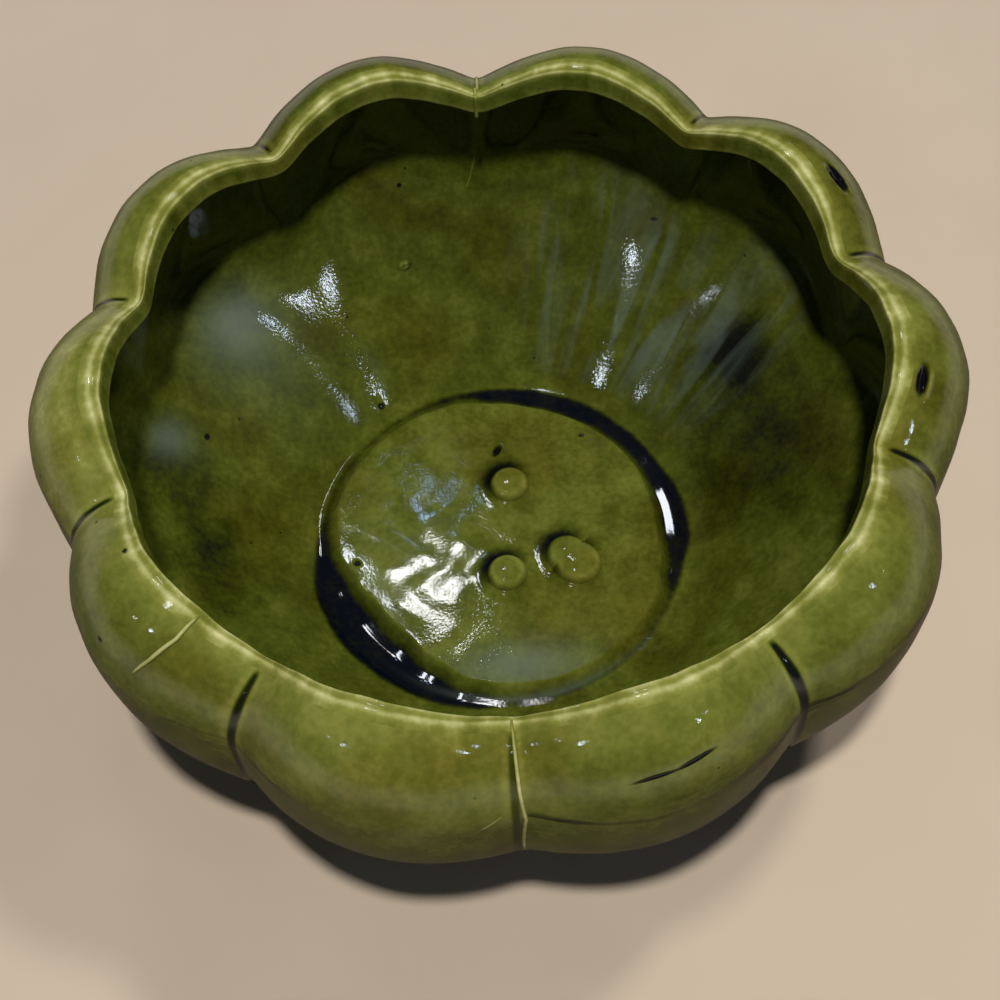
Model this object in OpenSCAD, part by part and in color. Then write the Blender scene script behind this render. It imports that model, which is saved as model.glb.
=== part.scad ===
// Lobed planter bowl of cast earthenware under a flowing green glaze.
// The clay is one lobed wall on a round floor with a foot ring. The glaze is a coat of glass
// over it: outside, lip, inside and floor, with a thick pool in the gutter round the floor.
// The origin is on the table under the centre, +Z is up and the front is towards -Y.

/* [Lobed wall] */
// Number of lobes round the bowl
lobe_count = 10; // [6:1:14]
// Radius of the mouth in the grooves between lobes
mouth_r = 85; // [80:0.5:90]
// Swell of the mouth at the middle of a lobe
mouth_swell = 4.2; // [0:0.2:6]
// Height of the lip in the grooves
lip_h = 82; // [60:0.5:110]
// Rise of the lip at the middle of a lobe
lip_rise = 8.8; // [0:0.2:14]
// Radius of the belly in the grooves
belly_r = 99.4; // [97:0.2:115]
// Swell of the belly at the middle of a lobe
belly_swell = 7; // [4:0.2:14]
// Height of the shoulder from the widest line to the lip, in the grooves
shoulder_h = 14.3; // [10:0.1:30]
// Rise of the widest line at the middle of a lobe
belly_rise = 4.3; // [0:0.1:7]
// Slope of the lower wall where it leaves the floor
haunch_slope = 0.7; // [0.6:0.01:0.8]
// Tightness of the bend from that slope into the belly
haunch_pull = 2.5; // [1.5:0.1:3.5]
// Thickness of the wall with its glaze
wall_t = 7; // [5:0.2:9]

/* [Lip] */
// Width of the lip's flat top in the grooves
flat_w = 0.9; // [0.6:0.1:1.4]
// Extra width of the flat top at the middle of a lobe
flat_swell = 1.5; // [0:0.1:2.5]
// Dish of the flat top
flat_dish = 0.3; // [0:0.1:0.5]
// Reach of the lip's lower edge into the mouth, in the grooves
edge_reach = 2.2; // [1.8:0.1:4]
// Extra reach of the lower edge at the middle of a lobe
edge_swell = 1.6; // [0:0.1:3]
// Drop of the lower edge below the flat top
edge_drop = 5.4; // [3:0.1:6]

/* [Floor] */
// Radius of the raised disc, glaze included
disc_r = 43.7; // [34:0.1:54]
// Height of the raised disc, glaze included
disc_h = 11; // [10:0.1:14]
// Width of the gutter round the disc
gutter_w = 4.8; // [3:0.1:8]
// Depth of the clay gutter below the disc
gutter_d = 4; // [3:0.1:5]
// Width of the ledge from the gutter to the wall
ledge_w = 3.5; // [2:0.1:8]
// Slope of the gutter's sides, as a width
gutter_slope = 0.7; // [0.2:0.1:1.2]

/* [Foot ring] */
// Step in from the wall's lower end to the foot ring
foot_inset = 1; // [0.5:0.1:4]
// Width of the foot ring
foot_w = 8; // [4:0.1:12]
// Height of the foot ring
foot_h = 3.3; // [2:0.1:4.5]
// Bevel of the foot ring's lower edges
foot_bevel = 0.8; // [0.2:0.1:1.5]

/* [Bosses] */
// Radius of a round boss
boss_r = 5.2; // [4:0.1:6]
// Radius of the larger half of the double boss
twin_r = 6.1; // [5:0.1:7]
// Height of a boss above the disc
boss_h = 3; // [1.5:0.1:5]
// Rounding of a boss's top edge
boss_round = 1; // [0.3:0.1:1.3]
// Place of the back boss from the centre
back_boss = [2, 15.5];
// Place of the front boss from the centre
front_boss = [0, -11];
// Place of the double boss's smaller half
right_boss = [15.3, -6.2];
// Place of the double boss's larger half
twin_boss = [18.2, -9.4];

/* [Glaze] */
// Thickness of the glaze coat
glaze_t = 0.8; // [0.5:0.1:1]
// Share of the last facet above the foot that the outside glaze covers
glaze_reach = 0.5; // [0.2:0.1:0.8]
// Dip of the pooled glaze below the ledge round it
pool_dip = 0.7; // [0.2:0.1:1.2]
// Width of the pooled glaze's curl up each bank
pool_curl = 0.7; // [0.4:0.1:1]

/* [Mould seams] */
// Width of a seam
seam_w = 1; // [0.6:0.1:1.6]
// Height of a seam
seam_h = 0.5; // [0.3:0.1:1]
// Turn of the left seam from the front, anticlockwise
left_seam_turn = 310.5; // [300:0.5:320]

/* [Facets] */
// Facets round each lobe
lobe_facets = 8; // [6:2:10]
// Facets down the wall, from the lip to the foot
wall_facets = 12; // [8:2:16]

/* [Hidden] */
$fn = 64;
columns = lobe_count*lobe_facets;
front_column = 0;
back_column = columns/2;
left_column = round(columns*left_seam_turn/360);
// Facets that the back seam runs down inside the wall, and that the seams run down outside
back_seam_inside = round(wall_facets/3);
seam_outside = wall_facets - 1;
belly_h = lip_h - shoulder_h;
gutter_r = disc_r + gutter_w;
floor_r = gutter_r + ledge_w;
foot_r = floor_r - foot_inset;
// The wall's meridian ends level with the glaze's underside
low_z = foot_h - glaze_t;
ledge_z = low_z + wall_t;
ledge_clay_z = ledge_z - glaze_t;
disc_clay_z = disc_h - glaze_t;
disc_clay_r = disc_r - glaze_t;
gutter_z = disc_clay_z - gutter_d;
pool_z = ledge_z - pool_dip;
edge_in = 1.2;
edge_up = 0.6;
spill = 2;

clay_colour = "#c9b08a";
olive = "#6f7433";
dark_olive = "#474c12";
pale_olive = "#b5b878";
pool_colour = "#10141c";
boss_colour = "#7d8245";

function mix(a, b, t) = a + (b - a)*t;
function turn(column) = 360*column/columns - 90;
function lean(facet) = 180*facet/wall_facets;

// Swell of the wall at a column: 0 in a groove, 1 at the middle of a lobe
function swell(column) = abs(sin(180*column/lobe_facets));

// Point [radius, height] of the shoulder: a quarter ellipse from the lip out to the widest line
function shoulder(swell, lean) = [
    mix(mouth_r + mouth_swell*swell, belly_r + belly_swell*swell, sin(lean)),
    mix(belly_h + belly_rise*swell, lip_h + lip_rise*swell, cos(lean))
];

// Point of the haunch: from the widest line round a bend, then down a straight slope to the floor
function haunch(swell, share) =
    let (
        belly = shoulder(swell, 90),
        knee = [belly[0], low_z + haunch_slope*(belly[0] - floor_r)],
        toe = [floor_r, low_z],
        t = share*share*(3 - 2*share),
        belly_weight = (1 - t)*(1 - t),
        knee_weight = 2*haunch_pull*t*(1 - t),
        toe_weight = t*t
    )
    (belly_weight*belly + knee_weight*knee + toe_weight*toe)
    /(belly_weight + knee_weight + toe_weight);

// Point of the wall's meridian at a swell and a lean, at a depth below the glaze.
// The lean is 0 at the lip, 90 at the widest line and 180 at the floor.
function meridian(swell, lean, depth) =
    (lean < 90 ? shoulder(swell, lean) : haunch(swell, lean/90 - 1)) - depth*[sin(lean), cos(lean)];

// Points of the lip from its lower edge to its flat top, at a depth below the glaze
function lip(swell, depth) =
    let (
        corner = meridian(swell, 0, 0),
        flat = flat_w + flat_swell*swell,
        reach = edge_reach + edge_swell*swell
    )
    [
        corner + [edge_in*depth - reach, edge_up*depth - edge_drop],
        corner + [edge_up*depth - flat, -depth],
        corner + [(edge_up*depth - flat)/2, -depth - flat_dish]
    ];

// Runs of meridian points from one facet to another, at a depth below the glaze
function run_down(swell, first, last, depth) =
    [for (facet = [first:1:last]) meridian(swell, lean(facet), depth)];
function run_up(swell, first, last, depth) =
    [for (facet = [last:-1:first]) meridian(swell, lean(facet), depth)];
function reversed(list) = [for (i = [len(list) - 1:-1:0]) list[i]];

function clay_section(swell) = concat(
    run_down(swell, 0, wall_facets, glaze_t),
    run_up(swell, 0, wall_facets, wall_t - glaze_t),
    lip(swell, glaze_t)
);
// Point on the last facet above the foot where the outside glaze ends
function glaze_end(swell, depth) =
    mix(meridian(swell, lean(wall_facets - 1), depth), meridian(swell, 180, depth), glaze_reach);
function outside_section(swell) = concat(
    run_down(swell, 0, wall_facets - 1, glaze_t),
    [glaze_end(swell, glaze_t), glaze_end(swell, 0)],
    run_up(swell, 0, wall_facets - 1, 0)
);
function inside_section(swell) = concat(
    run_up(swell, 0, wall_facets, wall_t - glaze_t),
    run_down(swell, 0, wall_facets, wall_t)
);
function lip_section(swell) = concat(
    [meridian(swell, 0, wall_t - glaze_t)],
    lip(swell, glaze_t),
    [meridian(swell, 0, glaze_t), meridian(swell, 0, 0)],
    reversed(lip(swell, 0)),
    [meridian(swell, 0, wall_t)]
);

// Point of a section carried to a column's turn
function placed(point, column) =
    [point[0]*cos(turn(column)), point[0]*sin(turn(column)), point[1]];
function placed_all(section, column) = [for (point = section) placed(point, column)];

// Triangles between rows of points: round in a ring, or from end to end with caps
function skin_faces(rows, size, closed) = [
    for (row = [0:rows - (closed ? 1 : 2)])
    for (i = [0:size - 1])
    let (
        next_row = (row + 1) % rows,
        next = (i + 1) % size,
        a = row*size + i,
        b = row*size + next,
        c = next_row*size + next,
        d = next_row*size + i
    )
    each [[a, b, c], [a, c, d]]
];
function cap_faces(size, last) = [
    for (i = [1:size - 2])
    each [[0, i + 1, i], [last, last + i, last + i + 1]]
];
function flipped(faces) = [for (face = faces) reversed(face)];

// Ring of facets through one section per column
module lobed_ring(sections, flip) {
    points = [for (column = [0:columns - 1]) each placed_all(sections[column], column)];
    faces = skin_faces(columns, len(sections[0]), true);
    polyhedron(points, flip ? flipped(faces) : faces);
}

module clay_wall() {
    color(clay_colour)
    lobed_ring([for (column = [0:columns - 1]) clay_section(swell(column))], false);
}

module outside_glaze() {
    color(olive)
    lobed_ring([for (column = [0:columns - 1]) outside_section(swell(column))], true);
}

module lip_glaze() {
    color(pale_olive)
    lobed_ring([for (column = [0:columns - 1]) lip_section(swell(column))], true);
}

module inside_glaze() {
    color(dark_olive)
    lobed_ring([for (column = [0:columns - 1]) inside_section(swell(column))], true);
}

// Prism inside the wall's lower end, with one side per column
module floor_prism() {
    linear_extrude(disc_h + boss_h)
    polygon([for (column = [0:columns - 1]) [for (i = [0:1]) placed([floor_r, 0], column)[i]]]);
}

module clay_floor() {
    color(clay_colour)
    intersection() {
        floor_prism();
        rotate_extrude()
        polygon([
            [0, foot_h],
            [floor_r + spill, foot_h],
            [floor_r + spill, ledge_clay_z],
            [gutter_r + gutter_slope, ledge_clay_z],
            [gutter_r, gutter_z],
            [disc_clay_r + gutter_slope, gutter_z],
            [disc_clay_r, disc_clay_z],
            [0, disc_clay_z]
        ]);
    }
}

module foot_ring() {
    color(clay_colour)
    rotate_extrude()
    polygon([
        [foot_r - foot_w, foot_bevel],
        [foot_r - foot_w + foot_bevel, 0],
        [foot_r - foot_bevel, 0],
        [foot_r, foot_bevel],
        [foot_r, foot_h],
        [foot_r - foot_w, foot_h]
    ]);
}

// Pooled glaze that fills the gutter and curls up its banks
module gutter_glaze() {
    color(pool_colour)
    intersection() {
        floor_prism();
        rotate_extrude()
        polygon([
            [disc_clay_r, disc_clay_z],
            [disc_clay_r + gutter_slope, gutter_z],
            [gutter_r, gutter_z],
            [gutter_r + gutter_slope, ledge_clay_z],
            [floor_r + spill, ledge_clay_z],
            [floor_r + spill, ledge_z],
            [gutter_r + gutter_slope, ledge_z],
            [gutter_r - pool_curl, pool_z + pool_dip/3],
            [(gutter_r + disc_r)/2, pool_z],
            [disc_r + pool_curl, pool_z + pool_dip/3],
            [disc_r, disc_h - glaze_t/2],
            [disc_clay_r, disc_h]
        ]);
    }
}

// Round boss that stands on the clay disc, with a rounded top edge
module boss(place, radius) {
    top = disc_h + boss_h;
    translate([place[0], place[1], 0])
    rotate_extrude()
    polygon(concat(
        [[0, disc_clay_z], [radius, disc_clay_z]],
        [for (a = [0:30:90]) [radius - boss_round*(1 - cos(a)), top - boss_round*(1 - sin(a))]],
        [[0, top]]
    ));
}

module boss_hole(place, radius) {
    translate([place[0], place[1], disc_clay_z - spill])
    cylinder(r = radius, h = glaze_t + 2*spill);
}

module back_boss() {
    color(boss_colour)
    boss(back_boss, boss_r);
}

module front_boss() {
    color(boss_colour)
    boss(front_boss, boss_r);
}

module double_boss() {
    color(boss_colour)
    union() {
        boss(right_boss, boss_r);
        boss(twin_boss, twin_r);
    }
}

module floor_glaze() {
    color(olive)
    difference() {
        translate([0, 0, disc_clay_z])
        cylinder(r = disc_clay_r, h = glaze_t);
        boss_hole(back_boss, boss_r);
        boss_hole(front_boss, boss_r);
        boss_hole(right_boss, boss_r);
        boss_hole(twin_boss, twin_r);
    }
}

// Line of wall points that a seam follows: up the inside, over the lip and down the outside
function seam_line(column, inside, rise) =
    let (s = swell(column))
    placed_all(concat(
        run_up(s, 0, inside, wall_t + rise),
        lip(s, -rise),
        run_down(s, 0, seam_outside, -rise)
    ), column);

// Raised seam along a column, with its feet on the facets at both sides
module seam(column, inside) {
    middle = seam_line(column, inside, 0);
    before = seam_line(column - 1, inside, 0);
    after = seam_line(column + 1, inside, 0);
    crest = seam_line(column, inside, seam_h);
    rows = [
        for (i = [0:len(middle) - 1])
        let (share = seam_w/2/norm(after[i] - middle[i]))
        [mix(middle[i], before[i], share), middle[i], mix(middle[i], after[i], share), crest[i]]
    ];
    points = [for (row = rows) each row];
    polyhedron(points, concat(
        skin_faces(len(rows), 4, false),
        cap_faces(4, len(points) - 4)
    ));
}

module front_seam() {
    color(pale_olive)
    seam(front_column, 0);
}

module back_seam() {
    color(pale_olive)
    seam(back_column, back_seam_inside);
}

module left_seam() {
    color(pale_olive)
    seam(left_column, 0);
}

clay_wall();
clay_floor();
foot_ring();
outside_glaze();
lip_glaze();
inside_glaze();
floor_glaze();
gutter_glaze();
back_boss();
front_boss();
double_boss();
front_seam();
back_seam();
left_seam();
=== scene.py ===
# %% [markdown]
# A lobed planter bowl under a breaking green glaze.
# The bowl is slip-cast earthenware with ten lobes. Its glaze is glass that ran while it was molten: it is
# thin and pale on the edges, olive on the walls and nearly black where it pooled. The solids of the part
# are loaded as a fixed frame, and each step below makes one piece of the bowl, or one finish, around them.

# %% Load the frame
import math
import bmesh
import bpy
import numpy as np
from mathutils import Euler, Matrix, Vector


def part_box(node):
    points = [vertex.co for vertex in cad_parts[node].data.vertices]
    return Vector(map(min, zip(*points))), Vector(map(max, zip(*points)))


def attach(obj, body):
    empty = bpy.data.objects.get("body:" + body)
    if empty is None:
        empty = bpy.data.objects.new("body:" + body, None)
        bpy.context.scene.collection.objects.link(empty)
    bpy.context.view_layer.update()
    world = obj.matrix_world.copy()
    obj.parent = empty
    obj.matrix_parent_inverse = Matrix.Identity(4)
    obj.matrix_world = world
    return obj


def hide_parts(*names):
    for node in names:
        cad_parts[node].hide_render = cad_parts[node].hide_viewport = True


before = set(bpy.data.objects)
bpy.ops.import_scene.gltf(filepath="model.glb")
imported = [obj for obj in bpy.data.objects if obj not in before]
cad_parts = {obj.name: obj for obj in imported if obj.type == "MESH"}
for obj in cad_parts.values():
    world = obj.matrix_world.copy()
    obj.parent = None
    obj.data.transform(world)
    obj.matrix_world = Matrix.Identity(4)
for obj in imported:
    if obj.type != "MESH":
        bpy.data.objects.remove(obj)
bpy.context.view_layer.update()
scene = bpy.context.scene
MM = 0.001

# %% [markdown]
# The camera stands where the photographer stood: in front of the bowl and well above it, looking down into
# it at about sixty degrees. A long lens keeps the near and the far lip close to the same size. The place
# and the turn were found by matching the ten grooves of the lip and the ring on the floor.

# %% Camera
camera_data = bpy.data.cameras.new("photo_camera")
camera_data.sensor_width = 36
camera_data.lens = 63.26
camera_data.clip_start = 10 * MM
camera = bpy.data.objects.new("photo_camera", camera_data)
camera.location = Vector((-1.03, -232.73, 398.40)) * MM
camera.rotation_euler = Euler([math.radians(a) for a in (32.158, 1.863, -3.043)])
scene.collection.objects.link(camera)
scene.camera = camera
scene.view_settings.view_transform = "Standard"
print("camera height in mm:", round(camera.location.z / MM))

# %% [markdown]
# Every shader and every Geometry Nodes tree below is put together by one small function. It adds a node,
# sets what is given by name, and joins or fills the sockets that are listed. A colour is written as the
# hex value that an eye would pick from a screen, so one more function turns it into linear light.


# %% Nodes and colours
def add_node(tree, kind, sockets=None, **settings):
    """Adds a node; a socket takes a value, another node's first output, or an output socket."""
    node = tree.nodes.new(kind)
    for name, value in settings.items():
        setattr(node, name, value)
    for name, value in (sockets or {}).items():
        if isinstance(value, bpy.types.Node):
            value = value.outputs[0]
        if isinstance(value, bpy.types.NodeSocket):
            tree.links.new(value, node.inputs[name])
        else:
            node.inputs[name].default_value = value
    return node


def maths(tree, operation, *values, **settings):
    """Adds a maths node on up to three values."""
    return add_node(tree, "ShaderNodeMath", dict(enumerate(values)), operation=operation, **settings)


def linear(hex_colour):
    """Linear colour with alpha from an sRGB hex value."""
    parts = [int(hex_colour[i:i + 2], 16) / 255 for i in (1, 3, 5)]
    return [c / 12.92 if c <= 0.04045 else ((c + 0.055) / 1.055) ** 2.4 for c in parts] + [1.0]


def blend(tree, share, low, high, **settings):
    """Adds a mix of two colours and gives its colour output."""
    mix = add_node(tree, "ShaderNodeMix", {0: share, 6: low, 7: high}, data_type="RGBA", **settings)
    return mix.outputs[2]


def new_material(name):
    """Empty material with its output, ready for a surface."""
    material = bpy.data.materials.new(name)
    material.use_nodes = True
    material.node_tree.nodes.clear()
    return material, material.node_tree


# %% [markdown]
# A glossy pot shows its lamps more than its colour, so small lamps stand where the highlights of the photo
# point back to: a group high behind the bowl, which the floor mirrors, a strip beside them for the bars of
# light in the pool, and a few at the right and the left for the wall. They are weak, because they are there
# only to be mirrored. The light itself comes from two large lamps that the glaze doesn't mirror, one
# overhead towards the front and one behind at the right.

# %% Lights
def softbox(name, azimuth, elevation, distance, size, watts, tint="#ffffff", mirrored=True):
    """Lamp aimed at the bowl. The azimuth is 0 at the back and 90 at the right."""
    lamp = bpy.data.lights.new(name, "AREA")
    lamp.shape = "ELLIPSE"
    lamp.size, lamp.size_y = size
    lamp.energy = watts
    lamp.color = linear(tint)[:3]
    turn, rise = math.radians(azimuth), math.radians(elevation)
    away = Vector((math.sin(turn) * math.cos(rise), math.cos(turn) * math.cos(rise), math.sin(rise)))
    lamp_object = bpy.data.objects.new(name, lamp)
    lamp_object.location = away * distance + Vector((0, 0, 0.05))
    lamp_object.rotation_euler = away.to_track_quat("Z", "Y").to_euler()
    lamp_object.visible_glossy = mirrored
    scene.collection.objects.link(lamp_object)


softbox("overhead_key", 180, 75, 1.5, (0.1, 0.1), 17.5, "#fff6ea", mirrored=False)
softbox("back_right_fill", 60, 62, 1.6, (0.2, 0.2), 8, "#fff6ea", mirrored=False)
softbox("back_lamp", -5, 59.4, 1.4, (0.034, 0.03), 0.08)
softbox("back_left_lamp", -7.8, 60.2, 1.4, (0.042, 0.024), 0.08)
softbox("back_near_lamp", -5.8, 60.9, 1.4, (0.036, 0.018), 0.05)
softbox("cool_lamp", -5.9, 56.3, 1.4, (0.022, 0.014), 0.025, "#a9c6ff")
softbox("right_lamp", 121, 43, 1.3, (0.025, 0.13), 0.3, "#e2ecff")
softbox("low_right_lamp", 108, 42, 1.3, (0.02, 0.05), 0.1, "#d3e1ff")
softbox("left_lamp", -127, 46, 1.3, (0.03, 0.07), 0.2, "#e2ecff")
softbox("low_left_lamp", -109, 42, 1.3, (0.02, 0.025), 0.05, "#e2ecff")
softbox("strip_lamp", -14.5, 60, 1.4, (0.045, 0.14), 0.36, "#eef4ff")
softbox("ceiling_lamp", -54, 82, 1.4, (0.07, 0.05), 0.2, "#eaf1ff")


def seen_rays(tree):
    """1 for rays from the camera and for those that a mirror or glass sends on, 0 for light."""
    rays = add_node(tree, "ShaderNodeLightPath").outputs
    sent_on = maths(tree, "MAXIMUM", rays["Is Glossy Ray"], rays["Is Transmission Ray"])
    return maths(tree, "MAXIMUM", rays["Is Camera Ray"], sent_on)


world = bpy.data.worlds.new("studio_room")
scene.world = world
world.use_nodes = True
tree = world.node_tree
tree.nodes.clear()
way = add_node(tree, "ShaderNodeTexCoord").outputs["Generated"]
PALE_ROOM = "#ccc0ad"
height = add_node(tree, "ShaderNodeSeparateXYZ", {0: way}).outputs["Z"]
level = add_node(tree, "ShaderNodeMapRange", {
    "Value": height, "From Min": 0.02, "From Max": 0.3, "To Min": 1.0, "To Max": 0.06},
    interpolation_type="SMOOTHSTEP")
dim_room = add_node(tree, "ShaderNodeBackground", {"Color": linear("#e9edf2"), "Strength": 0.03})
seen_room = add_node(tree, "ShaderNodeBackground", {"Color": linear(PALE_ROOM), "Strength": level})
room = add_node(tree, "ShaderNodeMixShader", {0: seen_rays(tree), 1: dim_room, 2: seen_room})
add_node(tree, "ShaderNodeOutputWorld", {"Surface": room})
print("lamps:", len(bpy.data.lights))

# %% [markdown]
# The floor is a plain pale sheet. A faint cloudiness, a few centimetres wide, keeps it from being one flat
# colour, and it is matt enough to hold the bowl's soft shadow. Far from the bowl, where the lamps no longer
# reach, it passes over into the even tone of the room, so that it has no dark edge in low views. The glaze
# mirrors a dimmer sheet than the camera sees, as it does when a bowl shades its own table.

# %% Floor
FLOOR_HALF = 12.0
floor_mesh = bpy.data.meshes.new("pale_floor")
floor_corners = [(x * FLOOR_HALF, y * FLOOR_HALF, 0) for x, y in ((-1, -1), (1, -1), (1, 1), (-1, 1))]
floor_mesh.from_pydata(floor_corners, [], [(0, 1, 2, 3)])
pale_floor = bpy.data.objects.new("pale_floor", floor_mesh)
scene.collection.objects.link(pale_floor)

matt_board, tree = new_material("matt_pale_board")
place = add_node(tree, "ShaderNodeTexCoord")
CLOUD_MM = 40
cloud = add_node(tree, "ShaderNodeTexNoise",
                 {"Vector": place.outputs["Object"], "Scale": 1 / (CLOUD_MM * MM), "Detail": 3.0})
tint = blend(tree, cloud, linear("#c4b8a8"), linear("#ccc0b1"))
rays = add_node(tree, "ShaderNodeLightPath").outputs
mirrored = blend(tree, rays["Is Glossy Ray"], tint, linear("#5f564b"))
board = add_node(tree, "ShaderNodeBsdfPrincipled", {"Base Color": mirrored, "Roughness": 0.6})
NEAR_M, FAR_M = 0.17, 0.5
away = add_node(tree, "ShaderNodeVectorMath", {0: place.outputs["Object"]}, operation="LENGTH")
far = add_node(tree, "ShaderNodeMapRange", {
    "Value": away.outputs["Value"], "From Min": NEAR_M, "From Max": FAR_M}, interpolation_type="SMOOTHSTEP")
seen_far = maths(tree, "MULTIPLY", seen_rays(tree), far)
even = add_node(tree, "ShaderNodeEmission", {"Color": linear(PALE_ROOM), "Strength": 1.0})
sheet = add_node(tree, "ShaderNodeMixShader", {0: seen_far, 1: board, 2: even})
add_node(tree, "ShaderNodeOutputMaterial", {"Surface": sheet})
matt_board.cycles.emission_sampling = "NONE"
floor_mesh.materials.append(matt_board)

# %% [markdown]
# The wall follows a rule. Cut the bowl through its axis, and the cut is a quarter ellipse from the lip out
# to the belly, then a bend into a straight slope down to the floor. In a groove between two lobes the cut is
# smaller, at the middle of a lobe it is larger, and in between it swells as a sine. These are the part's own
# sizes, in millimetres, so that the pieces lie where the solids lie.

# %% Meridian of the wall
LOBES = 10
MOUTH_R, MOUTH_SWELL, LIP_H, LIP_RISE = 85, 4.2, 82, 8.8
BELLY_R, BELLY_SWELL, BELLY_H, BELLY_RISE = 99.4, 7, 67.7, 4.3
HAUNCH_SLOPE, HAUNCH_PULL = 0.7, 2.5
FLAT_W, FLAT_SWELL, FLAT_DISH = 0.9, 1.5, 0.3
EDGE_REACH, EDGE_SWELL, EDGE_DROP = 2.2, 1.6, 5.4
EDGE_IN, EDGE_UP = 1.2, 0.6
WALL_T, GLAZE_T = 7, 0.8
FLOOR_R, LOW_Z = 52, 2.5
LEDGE_Z = LOW_Z + WALL_T
DISC_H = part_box("floor_glaze")[1].z / MM
CLAY_IN = WALL_T - GLAZE_T
OUTSIDE_SOFT, INSIDE_SOFT = 0.07, 0.2
FRONT_TURN = -math.pi / 2


def smooth_step(t):
    """Eased share: 0 to 1 with level ends."""
    return t * t * (3 - 2 * t)


def meridian(swell, lean, depth):
    """Radius and height at a lean: 0 at the lip, 90 at the belly, 180 at the floor."""
    lean = np.asarray(lean, float)
    across, up = np.sin(np.radians(lean)), np.cos(np.radians(lean))
    mouth, top = MOUTH_R + MOUTH_SWELL * swell, LIP_H + LIP_RISE * swell
    belly, level = BELLY_R + BELLY_SWELL * swell, BELLY_H + BELLY_RISE * swell
    knee = LOW_Z + HAUNCH_SLOPE * (belly - FLOOR_R)
    share = smooth_step(np.clip(lean / 90 - 1, 0, 1))
    a, b, c = (1 - share) ** 2, 2 * HAUNCH_PULL * share * (1 - share), share ** 2
    haunch_r = ((a + b) * belly + c * FLOOR_R) / (a + b + c)
    haunch_z = (a * level + b * knee + c * LOW_Z) / (a + b + c)
    radius = np.where(lean < 90, mouth + (belly - mouth) * across, haunch_r) - depth * across
    height = np.where(lean < 90, level + (top - level) * up, haunch_z) - depth * up
    return np.stack([radius, height], axis=-1)


def swell_at(turn_deg, softness):
    """Swell of the wall at a turn, softened as the skin is."""
    sine = np.sin(np.radians(np.asarray(turn_deg, float)) * LOBES / 2)
    return np.sqrt((sine ** 2 + softness ** 2) / (1 + softness ** 2))


def on_wall(turn_deg, lean, depth, softness):
    """Point of the true wall in metres, before any unevenness."""
    radius, height = meridian(swell_at(turn_deg, softness), lean, depth)
    angle = math.radians(turn_deg) + FRONT_TURN
    return np.array((radius * math.cos(angle), radius * math.sin(angle), height)) * MM


def lip_corners(swell, depth):
    """Corners of the lip: outer ridge, dished middle, inner ridge, lower edge."""
    corner = meridian(swell, 0, 0)
    flat = FLAT_W + FLAT_SWELL * swell
    reach = EDGE_REACH + EDGE_SWELL * swell
    inner = EDGE_UP * depth - flat
    return [corner + offset for offset in (
        np.array((0, -depth)), np.array((inner / 2, -depth - FLAT_DISH)), np.array((inner, -depth)),
        np.array((EDGE_IN * depth - reach, EDGE_UP * depth - EDGE_DROP)))]


def rounded(corners, radii, arc_rows=7, run_rows=4):
    """Chain of points along straight runs with a curve of about that radius at each inner corner."""
    chain = [np.asarray(corners[0])]
    for before, corner, after, radius in zip(corners, corners[1:], corners[2:], radii):
        back, ahead = before - corner, after - corner
        start = corner + back * min(radius / np.linalg.norm(back), 0.45)
        end = corner + ahead * min(radius / np.linalg.norm(ahead), 0.45)
        chain += [chain[-1] + (start - chain[-1]) * i / run_rows for i in range(1, run_rows)]
        chain += [start * (1 - u) ** 2 + 2 * corner * u * (1 - u) + end * u ** 2
                  for u in np.linspace(0, 1, arc_rows)]
    last = np.asarray(corners[-1])
    chain += [chain[-1] + (last - chain[-1]) * i / run_rows for i in range(1, run_rows + 1)]
    return np.array(chain)


print("mouth across the grooves in mm:", 2 * MOUTH_R, "belly across the lobes:", 2 * (BELLY_R + BELLY_SWELL))

# %% [markdown]
# The glaze. A glossy lead-free earthenware glaze coloured with iron and copper, poured over buff clay and
# fired until it ran. Its colour follows its thickness, which potters call breaking: pale on raised edges,
# olive where it lies evenly, blue-black where it stands deep. So each glazed piece carries one number per
# point, its glaze depth, and one shader turns depth into colour through a ramp. In places that number also
# holds painted shade and painted highlights, as said where each is set. Clouds a few millimetres wide
# and a finer grain keep it uneven. A second number, the gap to the edge of the nearest groove's pool, lets
# the shader draw that edge crisply between the points. Amber patches are where the iron lay thicker.

# %% Glaze
GLAZE_STOPS = (
    (0.00, "#cfd09c"), (0.12, "#a9ae72"), (0.28, "#7f8540"), (0.44, "#646e2c"),
    (0.58, "#4a5418"), (0.72, "#323a0c"), (0.86, "#171b10"), (1.00, "#060a15"))
POOL_DEPTH = 0.96


def noise(tree, vector, size_mm, detail=2.0, twist=0.0):
    """Noise whose blotches are about so many millimetres wide."""
    return add_node(tree, "ShaderNodeTexNoise", {
        "Vector": vector, "Scale": 1 / (size_mm * MM), "Detail": detail, "Distortion": twist})


def spread(tree, value, low, high, to_low, to_high):
    """Value taken smoothly from one span to another."""
    return add_node(tree, "ShaderNodeMapRange", {
        "Value": value, "From Min": low, "From Max": high, "To Min": to_low, "To Max": to_high},
        interpolation_type="SMOOTHSTEP").outputs[0]


def attribute(tree, name):
    """Number that a piece carries at each point."""
    return add_node(tree, "ShaderNodeAttribute", attribute_name=name).outputs["Fac"]


olive_glaze, tree = new_material("olive_breaking_glaze")
place = add_node(tree, "ShaderNodeTexCoord").outputs["Object"]
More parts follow.
